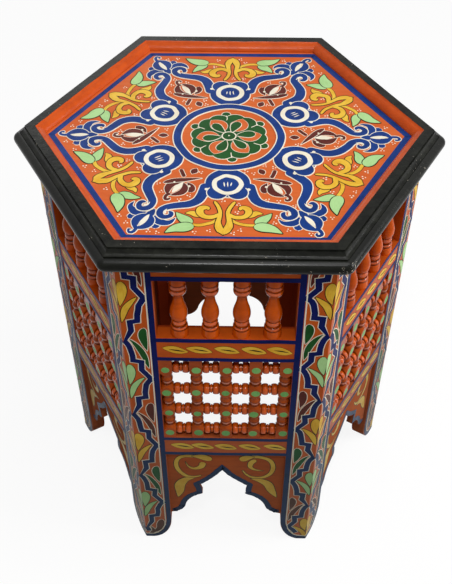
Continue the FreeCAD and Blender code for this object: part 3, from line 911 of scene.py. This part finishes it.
def frameMaterial(name, streaks):
    # Thin orange paint on the frames, and a darker coat on the faces that look into the hollow
    p = framePaint
    material, tree, shader, where = startMaterial(name)
    paint = brushed(tree, where, p["colours"], p["unevenness"], streaks, p["clouds"])
    # Painted shade: darker and greyer towards the floor
    clean = placeGroup(tree, shadedBelow, {"Clean": paint["Colour"], "Point": where})["Colour"]
    distance = hexPlace(tree, where)["Distance"]
    inside = mapPlace(tree, distance, p["innerFrom"])
    colour = mixColour(tree, inside, clean, srgb(p["inner"]))
    behind = mapPlace(tree, distance, p["varnishTo"])
    dull = calc(tree, "MAXIMUM", paint["Roughness"], behind)
    finish(tree, shader, colour, dull, paint["Height"], p["bump"], p["shine"])
    return material


# Beads of the turned pieces, middle and half length: above the floor of the gallery or the lattice on
# the upright ones, and from the middle of a spindle on the spindles. Rounding is a depth of bump.
turnedPaint = {
    "balusters": {"beads": [(12.1, 1.8), (17.8, 3.9), (59.9, 3.1), (66.1, 3.1)],
                  "colours": ("D0560A", "B04408"), "rounding": 0.0016, "varnish": 0.9, "shine": 0.07},
    # The posts' darker orange is painted shade: the spindles' paint, darkened for the upright faces of
    # the posts
    "posts": {"beads": [(24.3, 3.4), (58.4, 3.4), (92.6, 3.4)],
              "colours": ("A6460E", "8A3808"), "rounding": 0.0016, "varnish": 1.0, "shine": 0.07},
    "spindles": {"beads": [(4.85, 3.25)],
                 "colours": ("CC560E", "AA420A"), "rounding": 0.0009, "varnish": 0.3, "shine": 0.1},
}
turnedBrush = {
    "unevenness": 0.85, "streaks": (90, 90, 240), "clouds": 26, "marks": 0.03,
    "gloss": 0.45, "varnishRoughness": 0.14,
    # Painted shade and dirt: a dark brown laid into the grooves beside the beads, where shade gathers
    "grooveShadeAndDirt": "4A1606", "grooveShadeReach": (1.1, 0.2), "grooveShadeShare": 0.7,      # in the grooves beside the beads
}


def beadedSurface(tree, place, beads):
    # A parabola over each bead, from 0 at its ends to 1 in the middle, the same on upper halves only,
    # and the distance to the nearest end
    found = []
    for middle, half in beads:
        off = calc(tree, "SUBTRACT", place, middle * mm)
        away = calc(tree, "ABSOLUTE", off)
        share = calc(tree, "DIVIDE", away, half * mm)
        dome = calc(tree, "SUBTRACT", 1.0, calc(tree, "MULTIPLY", share, share), clamp=True)
        upper = calc(tree, "MULTIPLY", dome, calc(tree, "GREATER_THAN", off, 0.0))
        near = calc(tree, "ABSOLUTE", calc(tree, "SUBTRACT", away, half * mm))
        found.append((dome, upper, near))
    choices = ("MAXIMUM", "MAXIMUM", "MINIMUM")
    return [reduced(tree, choice, values) for choice, values in zip(choices, zip(*found))]


def turnedMaterial(kind, floor):
    # Orange paint under varnish on the turned pieces, with painted shade and dirt in the grooves beside
    # the beads
    p, b = turnedPaint[kind], turnedBrush
    material, tree, shader, where = startMaterial("orange" + kind.capitalize())
    paint = brushed(tree, where, p["colours"], b["unevenness"], b["streaks"], b["clouds"])
    if kind == "spindles":
        # Away from the middle of the nearest spindle, which lies half way between two posts
        pitch = (openHalf - latticePaint["block"] / 2) / 2 * mm
        along = hexPlace(tree, where)["Along"]
        part = calc(tree, "FRACT", calc(tree, "DIVIDE", along, pitch))
        place = calc(tree, "ABSOLUTE", calc(tree, "MULTIPLY_ADD", part, pitch, -pitch / 2))
    else:
        place = heightOf(tree, where)
    beads = [(floor + middle, half) for middle, half in p["beads"]]
    swell, crest, gap = beadedSurface(tree, place, beads)
    if kind == "spindles":
        crest = swell                 # a lying bead has its varnish all along
    # Painted shade and dirt: darker in the grooves beside the beads
    grooveShadeAndDirt = mapPlace(tree, gap, b["grooveShadeReach"], 0.0, b["grooveShadeShare"])
    colour = mixColour(tree, grooveShadeAndDirt, paint["Colour"], srgb(b["grooveShadeAndDirt"]))
    smooth = calc(tree, "MULTIPLY", paint["Roughness"], b["gloss"])
    lumps = calc(tree, "MULTIPLY_ADD", paint["Height"], b["marks"], swell)
    finish(tree, shader, colour, smooth, lumps, 1.0, p["shine"], p["rounding"])
    varnish = calc(tree, "MULTIPLY", crest, p["varnish"])
    feed(tree, shader, {"Coat Weight": varnish, "Coat Roughness": b["varnishRoughness"]})
    return material


chips = {
    "unevenness": 0.8, "gloss": 0.6,                  # of the paint that is left
    "colour": "B9B1A2", "scale": 300.0, "level": (0.69, 0.72),
    "corners": (208.5, 217.5), "cornerShare": 0.11,   # distance from the axis where corners wear
    "patchScale": 14.0, "patches": (0.45, 0.62, -0.08, 0.05),
}


def chippedBlack(tree, where, colours, streaks, clouds):
    # Brushed black paint with small pale chips, which gather in patches and on the corners
    dark = brushed(tree, where, colours, chips["unevenness"], streaks, clouds)
    flat = addNode(tree, "VectorMath", {"operation": "MULTIPLY"}, {0: where, 1: (1, 1, 0)}).outputs[0]
    reach = addNode(tree, "VectorMath", {"operation": "LENGTH"}, {0: flat}).outputs["Value"]
    corner = mapPlace(tree, reach, chips["corners"], 0.0, chips["cornerShare"])
    patch = mapRange(tree, noise(tree, where, chips["patchScale"], 1.0), *chips["patches"])
    speck = noise(tree, where, chips["scale"], 5.0, 0.7)
    weak = calc(tree, "ADD", speck, calc(tree, "ADD", corner, patch))
    chipped = mapRange(tree, weak, *chips["level"])
    gloss = calc(tree, "MULTIPLY", dark["Roughness"], chips["gloss"])
    return mixColour(tree, chipped, dark["Colour"], srgb(chips["colour"])), gloss, dark["Height"]


mouldingPaint = {
    "black": ("0D0E0B", "24251F"), "warm": ("C65019", "AF4213"),
    "unevenness": 0.8, "streaks": (120, 120, 260), "clouds": 30,
    "arris": (169.1, 169.6), "wander": 1.2, "wanderScale": 45.0,      # where the colours meet
    "bump": 0.7, "shine": 0.1,
}


def mouldingMaterial():
    # Chipped black outside the inner arris, orange inside it
    p = mouldingPaint
    material, tree, shader, where = startMaterial("blackAndOrange")
    distance = hexPlace(tree, where)["Distance"]
    wander = noise(tree, where, p["wanderScale"], 2.0)
    line = calc(tree, "MULTIPLY_ADD", wander, p["wander"] * mm, distance)
    outside = mapPlace(tree, line, p["arris"])
    worn, gloss, lumps = chippedBlack(tree, where, p["black"], p["streaks"], p["clouds"])
    warm = brushed(tree, where, p["warm"], p["unevenness"], p["streaks"], p["clouds"])
    colour = mixColour(tree, outside, warm["Colour"], worn)
    finish(tree, shader, colour, gloss, lumps, p["bump"], p["shine"])
    return material


boardPaint = {
    "field": ("D16731", "C45726"), "edge": ("090A07", "1A1B16"), "under": "7A2C10",
    "unevenness": 0.8, "streaks": (40, 420, 40), "clouds": 18,
    "edgeFrom": (168.0, 168.4),                       # from the axis, hidden under the moulding
    "underRise": (0.2, 0.0),                          # above the underside, like the next
    "varnishRise": (10, 15), "varnish": 0.3, "varnishRoughness": 0.22,
    "bump": 0.2, "shine": 0.08,
}


def boardMaterial():
    # Orange field inside the moulding, black rounded edge varnished on its upper half, brown underside
    p = boardPaint
    material, tree, shader, where = startMaterial("topBoard")
    height = heightOf(tree, where)
    field = brushed(tree, where, p["field"], p["unevenness"], p["streaks"], p["clouds"])
    worn, gloss = chippedBlack(tree, where, p["edge"], p["streaks"], p["clouds"])[:2]
    edge = mapPlace(tree, hexPlace(tree, where)["Distance"], p["edgeFrom"])
    under = mapPlace(tree, height, [legTop + rise for rise in p["underRise"]])
    colour = mixColour(tree, edge, field["Colour"], worn)
    colour = mixColour(tree, under, colour, srgb(p["under"]))
    rough = mixValue(tree, edge, field["Roughness"], gloss)
    finish(tree, shader, colour, rough, field["Height"], p["bump"], p["shine"])
    upper = mapPlace(tree, height, [legTop + rise for rise in p["varnishRise"]], 0.0, p["varnish"])
    varnish = calc(tree, "MULTIPLY", edge, upper)
    feed(tree, shader, {"Coat Weight": varnish, "Coat Roughness": p["varnishRoughness"]})
    return material


steel = {"bright": "8C8B88", "tarnished": "5B5551", "scale": 900.0, "roughness": (0.3, 0.55)}


def steelMaterial():
    material, tree, shader, where = startMaterial("nailSteel")
    tarnish = noise(tree, where, steel["scale"])
    colour = mixColour(tree, tarnish, srgb(steel["bright"]), srgb(steel["tarnished"]))
    rough = mapRange(tree, tarnish, 0.3, 0.7, *steel["roughness"])
    feed(tree, shader, {"Base Color": colour, "Roughness": rough, "Metallic": 1.0})
    return material


levelPaint = frameMaterial("orangeRails", framePaint["level"])
nodeFinishes = {
    "stile": frameMaterial("orangeStiles", framePaint["upright"]),
    "apron": levelPaint, "rail": levelPaint,
    "balusters": turnedMaterial("balusters", railSpans["middle_rail"][1]),
    "posts": turnedMaterial("posts", railSpans["lower_rail"][1]),
    "spindles": turnedMaterial("spindles", 0.0),
    "moulding": mouldingMaterial(), "board": boardMaterial(), "nails": steelMaterial(),
}
for name, piece in nodes.items():
    piece.data.materials.clear()
    piece.data.materials.append(nodeFinishes[name.split("_")[-1]])
print("finishes made")


def buildFilms():
    for name, film in films.items():
        mesh = bpy.data.meshes.new("paint_" + name)
        mesh.from_pydata(np.vstack(film["points"]), [], film["faces"])
        grain = mesh.attributes.new("grain", "FLOAT_VECTOR", "POINT")
        grain.data.foreach_set("vector", np.vstack(film["grain"]).astype(np.float32).ravel())
        area = "top" if name.startswith("top") else "side"
        colour = name.removeprefix(area)
        mesh.materials.append(filmMaterial(area, colour))
        piece = bpy.data.objects.new("paint_" + name, mesh)
        scene.collection.objects.link(piece)
        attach(piece, "root")
        print("paint film", name, len(film["faces"]), "faces")


buildFilms()


# Studio

studio = {
    "floorSize": 8.0, "floorColour": "C4C3C0", "seenFloor": ("F6F5F3", "FFFFFF"), "cloudScale": 3.0,
    "floorRoughness": 0.9, "world": 0.2, "whiteness": 0.9,
    # Place, aim height, size and power of each soft lamp
    "lamps": [((0.4, -0.4, 2.6), 0.4, 1.4, 20), ((0.0, -0.98, 2.12), 0.4, 0.2, 12.5),
              ((1.93, -0.2, 1.1), 0.3, 1.0, 28), ((-0.7, 1.9, 1.3), 0.3, 1.0, 5)],
}
view = {"place": (0.0107, -0.7470, 1.0228), "pitch": 44.62, "yaw": 1.05, "lens": 55.15}


def backgroundRays(tree):
    # One for the rays that show the background: from the camera, by reflection and through glass
    rays = addNode(tree, "LightPath").outputs
    kinds = ("Is Camera Ray", "Is Glossy Ray", "Is Transmission Ray")
    return reduced(tree, "MAXIMUM", [rays[kind] for kind in kinds])


def buildStudio():
    half = studio["floorSize"] / 2
    corners = [(-half, -half, 0), (half, -half, 0), (half, half, 0), (-half, half, 0)]
    mesh = bpy.data.meshes.new("floor")
    mesh.from_pydata(corners, [], [(0, 1, 2, 3)])
    floor = bpy.data.objects.new("floor", mesh)
    material, tree, shader, where = startMaterial("paleFloor")
    seen = backgroundRays(tree)
    clouds = noise(tree, where, studio["cloudScale"])
    pale = mixColour(tree, clouds, *[srgb(code) for code in studio["seenFloor"]])
    shade = mixColour(tree, seen, srgb(studio["floorColour"]), pale)
    feed(tree, shader, {"Base Color": shade, "Roughness": studio["floorRoughness"],
                        "Specular IOR Level": 0.0})
    white = addNode(tree, "Emission", None, {"Color": (1, 1, 1, 1), "Strength": 1.0}).outputs[0]
    share = calc(tree, "MULTIPLY", seen, studio["whiteness"])
    mixed = addNode(tree, "MixShader", None, {0: share, 1: shader.outputs[0], 2: white}).outputs[0]
    feed(tree, tree.nodes["Material Output"], {"Surface": mixed})
    mesh.materials.append(material)
    scene.collection.objects.link(floor)

    world = bpy.data.worlds.new("studio")
    scene.world = world
    world.use_nodes = True
    tree = world.node_tree
    limits = {"Value": backgroundRays(tree), "To Min": studio["world"], "To Max": 1.0}
    strength = addNode(tree, "MapRange", None, limits).outputs[0]
    feed(tree, tree.nodes["Background"], {"Color": (1, 1, 1, 1), "Strength": strength})

    for k, (place, aim, size, power) in enumerate(studio["lamps"]):
        lamp = bpy.data.lights.new(f"lamp{k + 1}", "AREA")
        lamp.energy = power
        lamp.size = size
        holder = bpy.data.objects.new(lamp.name, lamp)
        holder.location = place
        way = np.array([-place[0], -place[1], aim - place[2]])
        tilt = math.atan2(math.hypot(way[0], way[1]), -way[2])
        holder.rotation_euler = (tilt, 0, math.atan2(way[1], way[0]) - math.pi / 2)
        scene.collection.objects.link(holder)

    camera = bpy.data.cameras.new("camera")
    camera.lens = view["lens"]
    camera.sensor_width = 36
    holder = bpy.data.objects.new("camera", camera)
    holder.location = view["place"]
    holder.rotation_euler = (math.radians(view["pitch"]), 0, math.radians(view["yaw"]))
    scene.collection.objects.link(holder)
    scene.camera = holder
    scene.view_settings.view_transform = "Standard"


buildStudio()
print("studio made")
